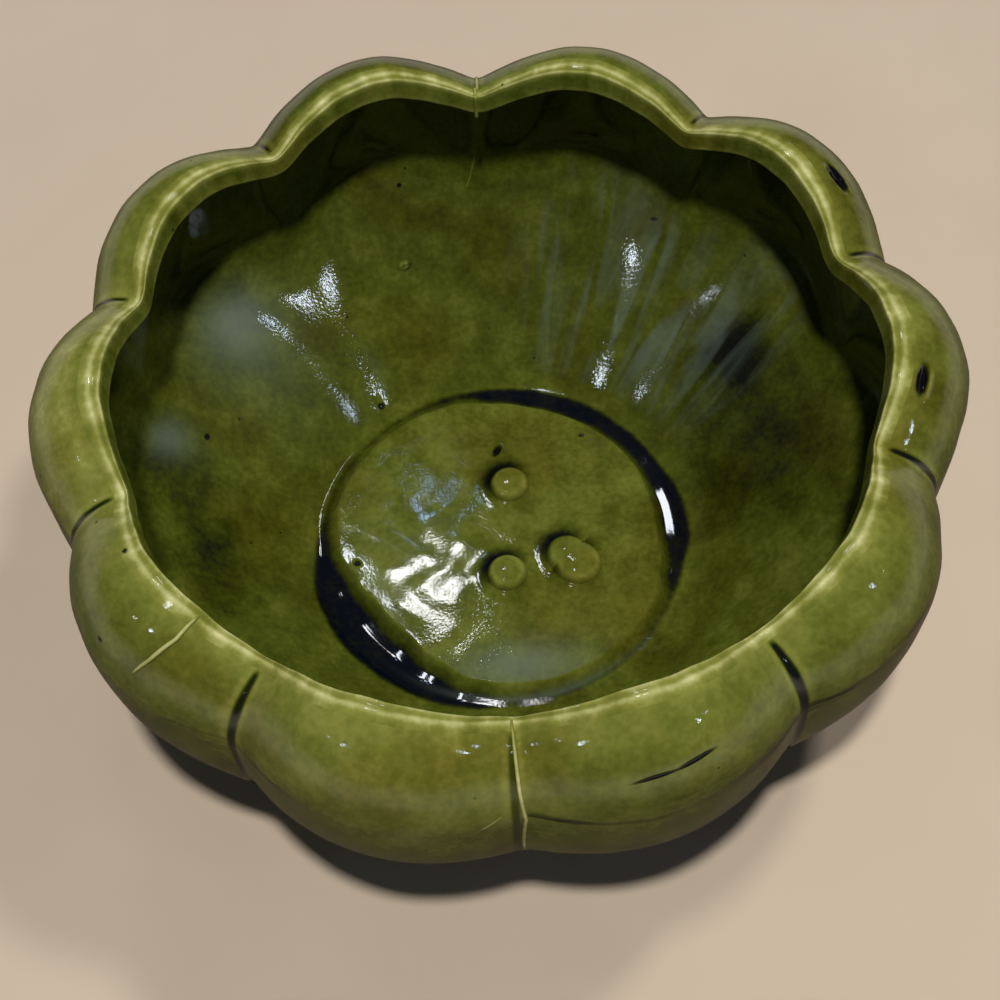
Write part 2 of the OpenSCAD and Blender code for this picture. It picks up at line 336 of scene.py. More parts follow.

# %% [markdown]
# Faults of this one bowl: a slit and a dent in two lobes at the right, a long scratch at the front, pinholes
# inside, and a few patches where the glaze stood deeper. Not all patches are glaze: on the right of the
# inside wall two dark ones are partly painted shade, and a pale one low down is a painted pool of light.
# Each row gives the surface, a turn from the front, a lean, the oval's length, width and tilt, and how much
# it stains and how far it rises in millimetres. The shader measures the way to its middle in units of the
# oval, so a mark stays crisp however coarse the mesh is. One sum darkens the glaze, painted shade and light
# included, and another bends the light. The coats below are dented in the same places. Fine level lines
# round the belly are left from the turning of the model.

# %% Faults of the glaze
OUTER, INNER = (0, OUTSIDE_SOFT), (WALL_T, INSIDE_SOFT)
FAULTS = (
    (OUTER, 119.2, 23.5, 5.4, 2.0, 169, 0.9, -1.1), (OUTER, 118.4, 30, 4.8, 1.0, 169, -0.25, 0.3),
    (OUTER, 81.8, 17, 5.0, 1.9, 0, 0.7, -0.8), (OUTER, 81.4, 23, 4.6, 1.0, 0, -0.2, 0.25),
    (OUTER, 14.6, 53.3, 6.5, 0.6, -4, 0.8, -0.15), (OUTER, 19.4, 50.3, 6.0, 0.7, -9, 0.9, -0.15),
    (OUTER, 355.9, 86, 5.0, 0.5, -39, -0.3, 0.05), (OUTER, 299.7, 6, 1.0, 0.8, 0, 0.6, -0.2),
    (OUTER, 306, 58, 1.0, 0.8, 0, 0.6, -0.1), (INNER, 196.5, 154.8, 2.4, 1.8, 20, -0.35, 1.8),
    (INNER, 252.3, 152.8, 1.2, 1.0, 0, 0.4, -0.4), (INNER, 215.5, 175, 1.2, 1.2, 0, 0.4, -0.5),
    (INNER, 193.8, 133.3, 0.8, 0.8, 0, 0.4, -0.3), (INNER, 150, 138, 1.3, 0.7, 30, 0.35, -0.3))
# Pooled glaze at the left; at the right, two dark patches that are partly painted shade, and a pale one low
# down that is painted light.
POOLED_AND_PAINTED_LIGHT = (
    (INNER, 278.5, 159.5, 26, 15, 0, 0.2, 0), (INNER, 262, 150, 20, 18, 0, 0.14, 0),
    (INNER, 123.5, 157.5, 16, 15, 0, 0.34, 0), (INNER, 102, 162, 46, 34, 0, 0.19, 0),
    (INNER, 74, 160, 32, 26, 0, -0.1, 0))
FAULT_CORE = 0.25
FLOOR_PITS = (
    (-0.7, 26.8, 2.6, 1.2, 60, 0.4, -0.6), (-38.1, -5.1, 1.3, 1.1, 0, 0.4, -0.4),
    (22, 30, 1.1, 0.8, 0, 0.3, -0.1))


def oval(tree, middle, axes, long_mm, wide_mm, tilt, core):
    """Mask of an oval: 1 in its core and 0 at its edge. Axes are its level, its fall and its normal."""
    level, fall, normal = axes
    along = level * math.cos(math.radians(tilt)) + fall * math.sin(math.radians(tilt))
    across = normal.cross(along)
    turned = Matrix((along, across, normal)).transposed().to_euler()
    local = add_node(tree, "ShaderNodeMapping", {
        "Vector": place, "Location": middle, "Rotation": turned,
        "Scale": (long_mm * MM, wide_mm * MM, max(2, wide_mm) * MM)}, vector_type="TEXTURE")
    away = add_node(tree, "ShaderNodeVectorMath", {0: local}, operation="LENGTH").outputs["Value"]
    return spread(tree, away, core, 1.0, 1.0, 0.0)


def wall_axes(turn, lean, depth, softness):
    """Middle and level, fall and normal directions of the wall at a place."""
    middle = Vector(on_wall(turn, lean, depth, softness))
    level = (Vector(on_wall(turn + 0.2, lean, depth, softness)) - middle).normalized()
    fall = (Vector(on_wall(turn, lean + 0.2, depth, softness)) - middle).normalized()
    return middle, (level, fall, level.cross(fall).normalized())


ovals = []
for (depth_mm, softness), turn, lean, long_mm, wide_mm, tilt, stain, relief in FAULTS + POOLED_AND_PAINTED_LIGHT:
    middle, axes = wall_axes(turn, lean, depth_mm, softness)
    core = FAULT_CORE if relief else 0.0
    ovals.append((oval(tree, middle, axes, long_mm, wide_mm, tilt, core), stain, relief))
flat_axes = (Vector((1, 0, 0)), Vector((0, 1, 0)), Vector((0, 0, 1)))
for x, y, long_mm, wide_mm, tilt, stain, relief in FLOOR_PITS:
    middle = Vector((x, y, DISC_H)) * MM
    ovals.append((oval(tree, middle, flat_axes, long_mm, wide_mm, tilt, FAULT_CORE), stain, relief))
skin = add_node(tree, "ShaderNodeAttribute", attribute_name="skin").outputs["Vector"]
LINE_MM, LINE_STRETCH = 4.5, 0.04
LINE_STAIN, LINE_RELIEF_MM = 0.4, -0.06
level = add_node(tree, "ShaderNodeVectorMath", {0: skin, 1: (LINE_STRETCH, 1.0, 1.0)}, operation="MULTIPLY")
lines = spread(tree, noise(tree, level, LINE_MM, 2.0), 0.52, 0.64, 0.0, 1.0)
turned = maths(tree, "MULTIPLY", lines, attribute(tree, "throwing"))
stains_and_painted_light = maths(tree, "MULTIPLY", turned, LINE_STAIN)
relief_mm = maths(tree, "MULTIPLY", turned, LINE_RELIEF_MM)
for mask, stain, relief in ovals:
    stains_and_painted_light = maths(tree, "MULTIPLY_ADD", mask, stain, stains_and_painted_light)
    if relief:
        relief_mm = maths(tree, "MULTIPLY_ADD", mask, relief, relief_mm)
print("faults:", len(ovals))

# %% [markdown]
# Depth to colour. The depth of each point, the clouds and the faults add up to one thickness, which the ramp
# turns into the glaze's colour. The depth and the faults carry painted shade and painted light in places,
# so this sum does too.

# %% Glaze colour
depth = attribute(tree, "glaze_depth_and_painted_light")
clouds = spread(tree, noise(tree, place, 8, 4.0), 0.25, 0.75, -0.065, 0.065)
grain = spread(tree, noise(tree, place, 1.6, 2.0), 0.25, 0.75, -0.04, 0.04)
uneven = maths(tree, "ADD", clouds, grain)
marked = maths(tree, "ADD", uneven, stains_and_painted_light)
tone_with_painted_light = maths(tree, "ADD", depth, marked)
BAND_SOFT_MM = 0.5
band = spread(tree, attribute(tree, "groove_gap"), -BAND_SOFT_MM, BAND_SOFT_MM, 1.0, 0.0)
pooled = maths(tree, "MULTIPLY", band, attribute(tree, "groove_pool"))
deep = add_node(tree, "ShaderNodeMix", {0: pooled, 2: tone_with_painted_light, 3: POOL_DEPTH}, data_type="FLOAT")
colour = add_node(tree, "ShaderNodeValToRGB", {"Fac": deep})
stops = colour.color_ramp.elements
for spare in range(len(GLAZE_STOPS) - len(stops)):
    stops.new(0.5)
for stop, (position, hex_colour) in zip(stops, GLAZE_STOPS):
    stop.position = position
    stop.color = linear(hex_colour)
iron = spread(tree, noise(tree, place, 24, 3.0), 0.45, 0.7, 0.0, 0.4)
amber = maths(tree, "MULTIPLY", iron, spread(tree, deep, 0.2, 0.42, 0.0, 1.0))
warmed = blend(tree, amber, colour, linear("#d8a52a"), blend_type="MULTIPLY")

# %% [markdown]
# The rest of the glaze is what years of use and a rough kiln left on it. A few pinholes show as dark specks.
# Hard water dried to a thin grey film inside, in runs down the wall and in a few soft patches. Two things
# that share the film's grey are painted reflections instead: soft glows of a window on the left of the
# inside wall, and a sheen at the front of the pool. The skin itself is never flat: fine orange peel and slow
# waves make the edge of every highlight wander. Where the glaze stood deep, and where a piece is marked with
# a ripple, the peel is calmer.

# %% Glaze surface
SPECK_MM = 8
specks = add_node(tree, "ShaderNodeTexVoronoi", {"Vector": place, "Scale": 1 / (SPECK_MM * MM)})
chosen = spread(tree, specks.outputs["Color"], 0.55, 0.56, 0.0, 0.8)
spot = spread(tree, specks.outputs["Distance"], 0.03, 0.07, 1.0, 0.0)
speck = maths(tree, "MULTIPLY", chosen, spot)
specked = blend(tree, speck, warmed, linear("#15180a"))
RUN_MM, RUN_STRETCH = 9, 0.3
stretched = add_node(
    tree, "ShaderNodeVectorMath", {0: skin, 1: (1.0, RUN_STRETCH, 1.0)}, operation="MULTIPLY")
runs = spread(tree, noise(tree, stretched, RUN_MM, 5.0, 1.2), 0.44, 0.74, 0.0, 1.0)
film = maths(tree, "MULTIPLY_ADD", attribute(tree, "lime_film"), runs, attribute(tree, "film_and_painted_sheen"))
film_and_sheen_colour = blend(tree, film, specked, linear("#687870"))
ORANGE_PEEL_MM, PEEL_HIGH_MM = 0.8, 0.018
WAVE_MM, WAVE_HIGH_MM = 9, 0.05
RIPPLE_MM, RIPPLE_HIGH_MM, RIPPLE_CALMS = 6.5, 0.03, 0.7
PINHOLE_MM = 0.15
calm = spread(tree, depth, 0.8, 0.95, 1.0, 0.2)
still = maths(tree, "MULTIPLY_ADD", attribute(tree, "ripple"), -RIPPLE_CALMS, calm, use_clamp=True)
peel = add_node(tree, "ShaderNodeBump", {
    "Height": noise(tree, place, ORANGE_PEEL_MM), "Strength": still, "Distance": PEEL_HIGH_MM * MM})
wave = add_node(tree, "ShaderNodeBump", {
    "Height": noise(tree, place, WAVE_MM, 1.0), "Strength": calm, "Distance": WAVE_HIGH_MM * MM,
    "Normal": peel})
ripple = maths(tree, "MULTIPLY", noise(tree, place, RIPPLE_MM, 1.0), attribute(tree, "ripple"))
ripple_mm = maths(tree, "MULTIPLY_ADD", ripple, RIPPLE_HIGH_MM, relief_mm)
pinholes = maths(tree, "MULTIPLY_ADD", speck, -PINHOLE_MM, ripple_mm)
pitted = add_node(tree, "ShaderNodeBump", {"Height": pinholes, "Distance": MM, "Normal": wave})
glass = add_node(tree, "ShaderNodeBsdfPrincipled", {
    "Base Color": film_and_sheen_colour, "Roughness": 0.05, "IOR": 1.54, "Normal": pitted})
add_node(tree, "ShaderNodeOutputMaterial", {"Surface": glass})

# %% [markdown]
# The clay. Buff earthenware, cast and fired, then left bare where the bowl stands. Fine sand, under half a
# millimetre, freckles it, and it has no gloss at all.

# %% Clay
buff_clay, tree = new_material("buff_earthenware")
place = add_node(tree, "ShaderNodeTexCoord").outputs["Object"]
sand = noise(tree, place, 0.6, 3.0)
blush = noise(tree, place, 14, 3.0)
warm_clay = blend(tree, blush, linear("#c7ac83"), linear("#d8c3a0"))
sanded = blend(tree, sand, warm_clay, linear("#b0926a"))
grit = add_node(tree, "ShaderNodeBump", {"Height": sand, "Strength": 0.6, "Distance": 0.05 * MM})
fired = add_node(tree, "ShaderNodeBsdfPrincipled", {
    "Base Color": sanded, "Roughness": 0.85, "IOR": 1.5, "Normal": grit})
add_node(tree, "ShaderNodeOutputMaterial", {"Surface": fired})
print("materials:", [m.name for m in bpy.data.materials if m.node_tree])

# %% [markdown]
# Geometry Nodes turn that rule into a skin. A grid is bent into a ring: its columns go round the bowl and
# its rows go along a closed section. For each point the tree looks up the same row in two sections, one for
# a groove and one for the middle of a lobe, mixes them by the swell of its column and turns the result to
# its place. A plain sine would give knife-sharp grooves, so a softness rounds them as wet glaze does, and
# the columns gather towards the grooves, where the surface turns most.
# Lofting by hand in Python would do the same, but here the counts stay inputs that can be changed.


# %% Lobed skin tree
def lobed_skin_tree():
    """Tree that lofts two sections, kept one after the other in a mesh, round the lobes."""
    tree = bpy.data.node_groups.new("lobed_skin", "GeometryNodeTree")
    for name, kind in (
            ("Sections", "Geometry"), ("Lobes", "Int"), ("Columns", "Int"), ("Rows", "Int"),
            ("Gather", "Float"), ("Front Turn", "Float"), ("Weld", "Float"), ("Material", "Material")):
        tree.interface.new_socket(name, in_out="INPUT", socket_type="NodeSocket" + kind)
    tree.interface.new_socket("Skin", in_out="OUTPUT", socket_type="NodeSocketGeometry")
    size = add_node(tree, "NodeGroupInput").outputs
    posts = add_node(tree, "FunctionNodeIntegerMath", {0: size["Columns"], 1: 1}, operation="ADD")
    grid = add_node(tree, "GeometryNodeMeshGrid", {"Vertices X": posts, "Vertices Y": size["Rows"]})
    index = add_node(tree, "GeometryNodeInputIndex")
    column = add_node(tree, "FunctionNodeIntegerMath", {0: index, 1: size["Rows"]}, operation="DIVIDE_FLOOR")
    row = add_node(tree, "FunctionNodeIntegerMath", {0: index, 1: size["Rows"]}, operation="MODULO")
    crest_row = add_node(tree, "FunctionNodeIntegerMath", {0: row, 1: size["Rows"]}, operation="ADD")
    share = maths(tree, "DIVIDE", column, size["Columns"])
    even_turn = maths(tree, "MULTIPLY", share, math.tau)
    even_lobes = maths(tree, "MULTIPLY", even_turn, size["Lobes"])
    ripple = maths(tree, "SINE", even_lobes)
    pull = maths(tree, "DIVIDE", size["Gather"], size["Lobes"])
    shift = maths(tree, "MULTIPLY", ripple, pull)
    turn = maths(tree, "SUBTRACT", even_turn, shift)
    position = add_node(tree, "GeometryNodeInputPosition")
    finish = add_node(tree, "GeometryNodeInputNamedAttribute", {"Name": "finish"}, data_type="FLOAT_VECTOR")
    groove, crest, row_finish = (
        add_node(tree, "GeometryNodeSampleIndex", {
            "Geometry": size["Sections"], "Value": value, "Index": at}, data_type="FLOAT_VECTOR")
        for value, at in ((position, row), (position, crest_row), (finish, row)))
    softness = add_node(tree, "ShaderNodeSeparateXYZ", {0: row_finish})
    soft_square = maths(tree, "POWER", softness, 2.0)
    lobe_turn = maths(tree, "MULTIPLY", turn, size["Lobes"])
    half_turn = maths(tree, "MULTIPLY", lobe_turn, 0.5)
    sine = maths(tree, "SINE", half_turn)
    raised = maths(tree, "MULTIPLY_ADD", sine, sine, soft_square)
    highest = maths(tree, "ADD", soft_square, 1.0)
    levelled = maths(tree, "DIVIDE", raised, highest)
    swell = maths(tree, "SQRT", levelled)
    section = add_node(tree, "ShaderNodeMix", {0: swell, 4: groove, 5: crest}, data_type="VECTOR")
    angle = maths(tree, "ADD", turn, size["Front Turn"])
    placed = add_node(tree, "ShaderNodeVectorRotate", {"Vector": section.outputs[1], "Angle": angle},
                      rotation_type="Z_AXIS")
    skin = add_node(tree, "GeometryNodeSetPosition", {"Geometry": grid, "Position": placed})
    marked = add_node(tree, "GeometryNodeStoreNamedAttribute",
                      {"Geometry": skin, "Name": "finish", "Value": row_finish},
                      data_type="FLOAT_VECTOR", domain="POINT")
    welded = add_node(tree, "GeometryNodeMergeByDistance", {"Geometry": marked, "Distance": size["Weld"]})
    smooth = add_node(tree, "GeometryNodeSetShadeSmooth", {"Geometry": welded})
    real = add_node(tree, "GeometryNodeRealizeInstances", {"Geometry": smooth})
    dressed = add_node(tree, "GeometryNodeSetMaterial", {"Geometry": real, "Material": size["Material"]})
    add_node(tree, "NodeGroupOutput", {"Skin": dressed})
    return tree


LOBED_SKIN = lobed_skin_tree()


def grown(name, mesh, tree, sizes):
    """Object whose plain mesh is what a tree makes of a starting mesh."""
    piece = bpy.data.objects.new(name, mesh)
    scene.collection.objects.link(piece)
    modifier = piece.modifiers.new(tree.name, "NODES")
    modifier.node_group = tree
    for item in tree.interface.items_tree:
        if item.in_out == "INPUT" and item.name in sizes:
            modifier[item.identifier] = sizes[item.name]
    depsgraph = bpy.context.evaluated_depsgraph_get()
    plain = bpy.data.meshes.new_from_object(
        piece.evaluated_get(depsgraph), preserve_all_data_layers=True, depsgraph=depsgraph)
    piece.modifiers.clear()
    piece.data = plain
    plain.name = name
    return piece


SHARP_DEG = 50


def lobed_piece(name, section_at, finish, columns, material):
    """Ring through a closed section; finish holds softness, glaze depth and lean for each row."""
    sections = [np.asarray(section_at(swell)) * MM for swell in (0, 1)]
    sections = [np.vstack([s, s[:1]]) for s in sections]
    finish = np.vstack([finish, finish[:1]])
    rows = len(finish)
    points = np.zeros((2 * rows, 3))
    points[:, 0::2] = np.vstack(sections)
    mesh = bpy.data.meshes.new(name + "_sections")
    mesh.from_pydata(points.tolist(), [], [])
    held = mesh.attributes.new("finish", "FLOAT_VECTOR", "POINT")
    held.data.foreach_set("vector", np.vstack([finish, finish]).astype(np.float32).ravel())
    piece = grown(name, mesh, LOBED_SKIN, {
        "Lobes": LOBES, "Columns": columns, "Rows": rows, "Gather": 0.5, "Front Turn": FRONT_TURN,
        "Weld": 1e-6, "Material": material})
    piece.data.set_sharp_from_angle(angle=math.radians(SHARP_DEG))
    print(name, "faces:", len(piece.data.polygons))
    return piece


# %% [markdown]
# A cast bowl is never quite true, because the clay shrinks and leans as it dries and fires. A few slow
# ripples, tenths of a millimetre high, run round the wall and fade out towards the floor. The same function
# bends every piece of the wall, so that the clay stays under its glaze.

# %% Handmade unevenness
def get_points(mesh):
    """Points of a mesh as rows of x, y, z in metres."""
    points = np.zeros(len(mesh.vertices) * 3, np.float32)
    mesh.vertices.foreach_get("co", points)
    return points.reshape(-1, 3).astype(float)


def set_points(mesh, points):
    """Moves the points of a mesh."""
    mesh.vertices.foreach_set("co", points.astype(np.float32).ravel())
    mesh.update()


def turns_of(points):
    """Turn of each point from the front groove, anticlockwise, in degrees."""
    return np.degrees(np.arctan2(points[:, 1], points[:, 0]) - FRONT_TURN) % 360


RIPPLES = ((7, 0.03, 0.35, 0.4), (23, 0.11, 0.12, 1.9), (41, -0.17, 0.07, 3.1), (67, 0.23, 0.05, 0.7))
CALM_Z = 42


def bend(points):
    """Ripples the wall, fading towards the floor."""
    turn = np.radians(turns_of(points))
    push = sum(amount * np.sin(waves * turn + climb * points[:, 2] / MM + phase)
               for waves, climb, amount, phase in RIPPLES)
    height = np.clip((points[:, 2] / MM - CALM_Z) / (BELLY_H - CALM_Z), 0, 1)
    radius = np.hypot(points[:, 0], points[:, 1])
    scale = 1 + push * MM * smooth_step(height) / np.maximum(radius, MM)
    bent = points.copy()
    bent[:, :2] *= scale[:, None]
    return bent


def mark(mesh, name, values):
    """Keeps one number, or one vector, for each point."""
    values = np.asarray(values, np.float32)
    if values.ndim == 1:
        mesh.attributes.new(name, "FLOAT", "POINT").data.foreach_set("value", values)
    else:
        mesh.attributes.new(name, "FLOAT_VECTOR", "POINT").data.foreach_set("vector", values.ravel())


def finish_of(mesh):
    """Softness, glaze depth and lean that the tree kept for each point."""
    values = np.zeros(len(mesh.vertices) * 3, np.float32)
    mesh.attributes["finish"].data.foreach_get("vector", values)
    return values.reshape(-1, 3).astype(float)


# %% [markdown]
# The clay wall is the casting itself: the lobed shell with its lip. Glaze hides nearly all of it, and the
# last few millimetres above the foot stay bare. It needs fewer columns than the coats.

# %% Clay wall
LIP_LEAN, UNDER_LEAN, BARE_LEAN = 8, 10, 170
CLAY_ROWS = 48


def rows_of(*runs):
    """Rows of softness, glaze depth and lean, one run after another."""
    return np.vstack([np.column_stack(np.broadcast_arrays(*run)) for run in runs])


def clay_section(swell):
    """Closed section of the clay: up the outside, over the lip, down the inside."""
    return np.vstack([
        meridian(swell, np.linspace(180, LIP_LEAN, CLAY_ROWS), GLAZE_T),
        np.array(lip_corners(swell, GLAZE_T)),
        meridian(swell, np.linspace(UNDER_LEAN, 180, CLAY_ROWS), CLAY_IN)])


def tie(piece, node):
    """Ties a piece to the frame in place of a solid."""
    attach(piece, "root")
    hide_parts(node)


clay_finish = rows_of(
    (OUTSIDE_SOFT, 0, np.linspace(180, LIP_LEAN, CLAY_ROWS)),
    (np.linspace(OUTSIDE_SOFT, INSIDE_SOFT, 4), 0, np.zeros(4)),
    (INSIDE_SOFT, 0, np.linspace(UNDER_LEAN, 180, CLAY_ROWS)))
clay_wall = lobed_piece("earthenware_wall", clay_section, clay_finish, 240, buff_clay)
set_points(clay_wall.data, bend(get_points(clay_wall.data)))
tie(clay_wall, "clay_wall")

# %% [markdown]
# The outside coat. Poured glaze lies evenly over the swell of each lobe and gathers in the grooves between
# them, where it turns nearly black. How much it gathered differs from groove to groove, so each has its own
# strength, from the front groove round to the right. The coat is painted darker towards the back and low on
# the belly, which is painted shade. Each lobe has its own tone, partly from its glaze and partly painted
# light:
# the left lobe is paler and the back left one darker. The dents and the scratch are pressed into this coat's
# face, and the same function serves the inside coat.

# %% Outside glaze
COLUMNS = 480
HIDDEN_ROWS = 20
OLIVE_DEPTH, THIN_DEPTH = 0.46, 0.06
BACK_PAINTED_SHADE, LOW_PAINTED_SHADE = 0.13, 0.16
EDGE_FADE, EDGE_FADE_MM = 0.55, 3.0
FACE_ROWS = 104
LOW_LEAN, LOW_SPAN = 80, 45
THROWN_LEAN, THROWN_SPAN = 87, 7
SMOOTH_LEAN, SMOOTH_SPAN = 70, 25
GROOVE_POOL = (0.5, 0.95, 0.95, 0.9, 0.8, 0.0, 0.85, 0.85, 0.85, 0.8)
GROOVE_HALF_MM = (0.8, 1.1, 0.9, 0.7, 0.6, 0.5, 0.6, 0.65, 0.7, 0.95)
GROOVE_SHIFT_MM = (-1.5, 0, 0, 0, 0, 0, 0, 0, 0, 0)
GROOVE_WIDENS, GROOVE_STARTS, GROOVE_ENDS, GROOVE_FADES = 35, 6, 160, 40
THIN_SIDE, THIN_GAP_MM, THIN_WIDE_MM, THIN_ENDS, THIN_FADES = 0.3, 0.9, 0.8, 110, 60
LOBE_TONES_AND_LIGHT = (0, 0, 0, 0, 0, 0.12, -0.06, -0.24, 0, -0.06)


def round_values(turn_deg, values):
    """Smooth curve through values that stand evenly round the bowl, the first one at the front."""
    at = np.asarray(turn_deg, float) * len(values) / 360
    low = np.floor(at).astype(int)
    mixing = smooth_step(at - low)
    values = np.array(values, float)
    return values[low % len(values)] * (1 - mixing) + values[(low + 1) % len(values)] * mixing


PIT_MM, FACE_MM = 0.6, 0.5


def dented(points, surface):
    """Points of a coat's face pushed in or out inside the oval of each fault on that surface."""
    points = points.copy()
    side = 1 if surface is INNER else -1
    for fault_surface, turn, lean, long_mm, wide_mm, tilt, stain, relief in FAULTS:
        if fault_surface is surface:
            middle, (level, fall, normal) = wall_axes(turn, lean, *surface)
            along = level * math.cos(math.radians(tilt)) + fall * math.sin(math.radians(tilt))
            across = normal.cross(along)
            offset = (points - np.array(middle)) / MM
            away = np.hypot(offset @ np.array(along) / long_mm, offset @ np.array(across) / wide_mm)
            on_face = np.abs(offset @ np.array(normal)) < FACE_MM
            push = max(relief, -PIT_MM) * smooth_step(np.clip(1 - away, 0, 1)) * on_face
            points += np.outer(push, np.array(normal)) * side * MM
    return points


def dress_wall(piece, node, surface=None):
    """Dents and bends a coat, keeps where each point lies on the skin, and ties it to the frame."""
    points = dented(get_points(piece.data), surface)
    skin = np.column_stack([
        np.radians(turns_of(points)) * BELLY_R * MM, points[:, 2], np.zeros(len(points))])
    mark(piece.data, "skin", skin)
    set_points(piece.data, bend(points))
    tie(piece, node)


def groove_offsets(points):
    """Nearest groove of each point and how far round the bowl it lies from it, in mm."""
    lobe = 360 / LOBES
    at = turns_of(points) / lobe
    nearest = np.round(at)
    radius = np.hypot(points[:, 0], points[:, 1]) / MM
    return nearest.astype(int) % LOBES, np.radians((at - nearest) * lobe) * radius


def edge_fade(distance_mm):
    """How far the glaze has thinned at a distance from the lip's outer ridge."""
    return EDGE_FADE * np.exp(-distance_mm / EDGE_FADE_MM)


outside_lean = np.linspace(BARE_LEAN, LIP_LEAN, FACE_ROWS)
outside_back = np.linspace(LIP_LEAN, BARE_LEAN, HIDDEN_ROWS)


def outside_section(swell):
    """Closed section of the outside coat: up its face, down its back."""
    return np.vstack([meridian(swell, outside_lean, 0), meridian(swell, outside_back, GLAZE_T)])


outside_finish = rows_of(
    (OUTSIDE_SOFT, OLIVE_DEPTH, outside_lean), (OUTSIDE_SOFT, OLIVE_DEPTH, outside_back))
outside = lobed_piece("outside_glaze_coat", outside_section, outside_finish, COLUMNS, olive_glaze)
points = get_points(outside.data)
lean = finish_of(outside.data)[:, 2]
groove, offset = groove_offsets(points)
half = np.array(GROOVE_HALF_MM)[groove] * (0.5 + 0.5 * np.clip((lean - LIP_LEAN) / GROOVE_WIDENS, 0, 1))
gap = np.abs(offset - np.array(GROOVE_SHIFT_MM)[groove]) - half
mark(outside.data, "groove_gap", gap)
mark(outside.data, "groove_pool", np.array(GROOVE_POOL)[groove]
     * np.clip((lean - LIP_LEAN) / GROOVE_STARTS, 0, 1) * np.clip((GROOVE_ENDS - lean) / GROOVE_FADES, 0, 1))
from_ridge = np.linalg.norm(meridian(1, lean, 0) - meridian(1, 0, 0), axis=1)
thin_side = THIN_SIDE * np.exp(-((gap - THIN_GAP_MM) / THIN_WIDE_MM) ** 2)
thin_side = thin_side * np.clip((THIN_ENDS - lean) / THIN_FADES, 0, 1)
# Painted shade: the coat darkens towards the back of the bowl, and below, low on the belly.
coat_depth_and_shade = OLIVE_DEPTH + BACK_PAINTED_SHADE * (1 - np.cos(np.radians(turns_of(points)))) / 2
coat_depth_and_shade = coat_depth_and_shade + LOW_PAINTED_SHADE * smooth_step(np.clip((lean - LOW_LEAN) / LOW_SPAN, 0, 1))
# Lobe tones: partly each lobe's own glaze, partly painted light, paler on the left lobe and darker on the
# back left one.
lobe_tone_and_light = round_values(turns_of(points) - 180 / LOBES, LOBE_TONES_AND_LIGHT)
coat_depth_and_shade = coat_depth_and_shade + lobe_tone_and_light * np.clip((lean - LIP_LEAN) / 10, 0, 1)
mark(outside.data, "glaze_depth_and_painted_light",
     coat_depth_and_shade - (coat_depth_and_shade - THIN_DEPTH) * np.maximum(edge_fade(from_ridge), thin_side))
mark(outside.data, "throwing", np.exp(-((lean - THROWN_LEAN) / THROWN_SPAN) ** 2))
mark(outside.data, "ripple", smooth_step(np.clip((lean - SMOOTH_LEAN) / SMOOTH_SPAN, 0, 1)))
dress_wall(outside, "outside_glaze", OUTER)

# %% [markdown]
# The lip. Its top is a narrow dished land between two ridges, and inside it a cut face drops to a third
# ridge that overhangs the bowl. Glaze runs off ridges as it melts, so all three are pale lines, and they are
# drawn paler still with a painted highlight along them. Below the third ridge the colour turns nearly black:
# painted shade under the overhang. The depth of each row comes from its distance to the nearest ridge.

# %% Lip glaze
RIDGE_MM, RIDGE_ROUND = 0.8, (0.8, 1.2, 0.7, 0.8, 1.5)
RIDGE_PALE_AND_SHEEN_DEPTHS = (0.14, 0.17, 0.24)
RIDGE_SOFT = (0.07, 0.12, 0.2)
LAND_DEPTH, CUT_DEPTH, UNDER_LIP_SHADE_DEPTH = 0.36, 0.52, 0.97
LIP_BLOTCH = 0.05


def lip_face(swell):
    """Open chain over the lip, from the outside coat to the inside coat."""
    top = [meridian(swell, LIP_LEAN, 0)] + lip_corners(swell, 0)
    return rounded(top + [meridian(swell, 0, WALL_T), meridian(swell, UNDER_LEAN, WALL_T)], RIDGE_ROUND)


def lip_back(swell):
    """Chain back under the coat, along the clay."""
    inner_side = [meridian(swell, UNDER_LEAN, CLAY_IN), meridian(swell, 0, CLAY_IN)]
    corners = inner_side + lip_corners(swell, GLAZE_T)[::-1] + [meridian(swell, LIP_LEAN, GLAZE_T)]
    return rounded(corners, RIDGE_ROUND, 3, 2)


def lip_section(swell):
    """Closed section of the lip's coat."""
    return np.vstack([lip_face(swell), lip_back(swell)])


face = lip_face(1)
ridges = [lip_corners(1, 0)[i] for i in (0, 2, 3)]
starts = [int(np.argmin(np.linalg.norm(face - ridge, axis=1))) for ridge in ridges]
row = np.arange(len(face))
outer_side = OLIVE_DEPTH - (OLIVE_DEPTH - THIN_DEPTH) * edge_fade(np.linalg.norm(face - ridges[0], axis=1))
face_depth_and_light = np.where(row < starts[0], outer_side, np.where(row < starts[1], LAND_DEPTH, CUT_DEPTH))
# The ridges are pale from thin glaze, and partly from a painted highlight along them.
for ridge, ridge_pale_and_sheen in zip(ridges, RIDGE_PALE_AND_SHEEN_DEPTHS):
    near = np.exp(-(np.linalg.norm(face - ridge, axis=1) / RIDGE_MM) ** 2)
    face_depth_and_light = face_depth_and_light + (ridge_pale_and_sheen - face_depth_and_light) * near
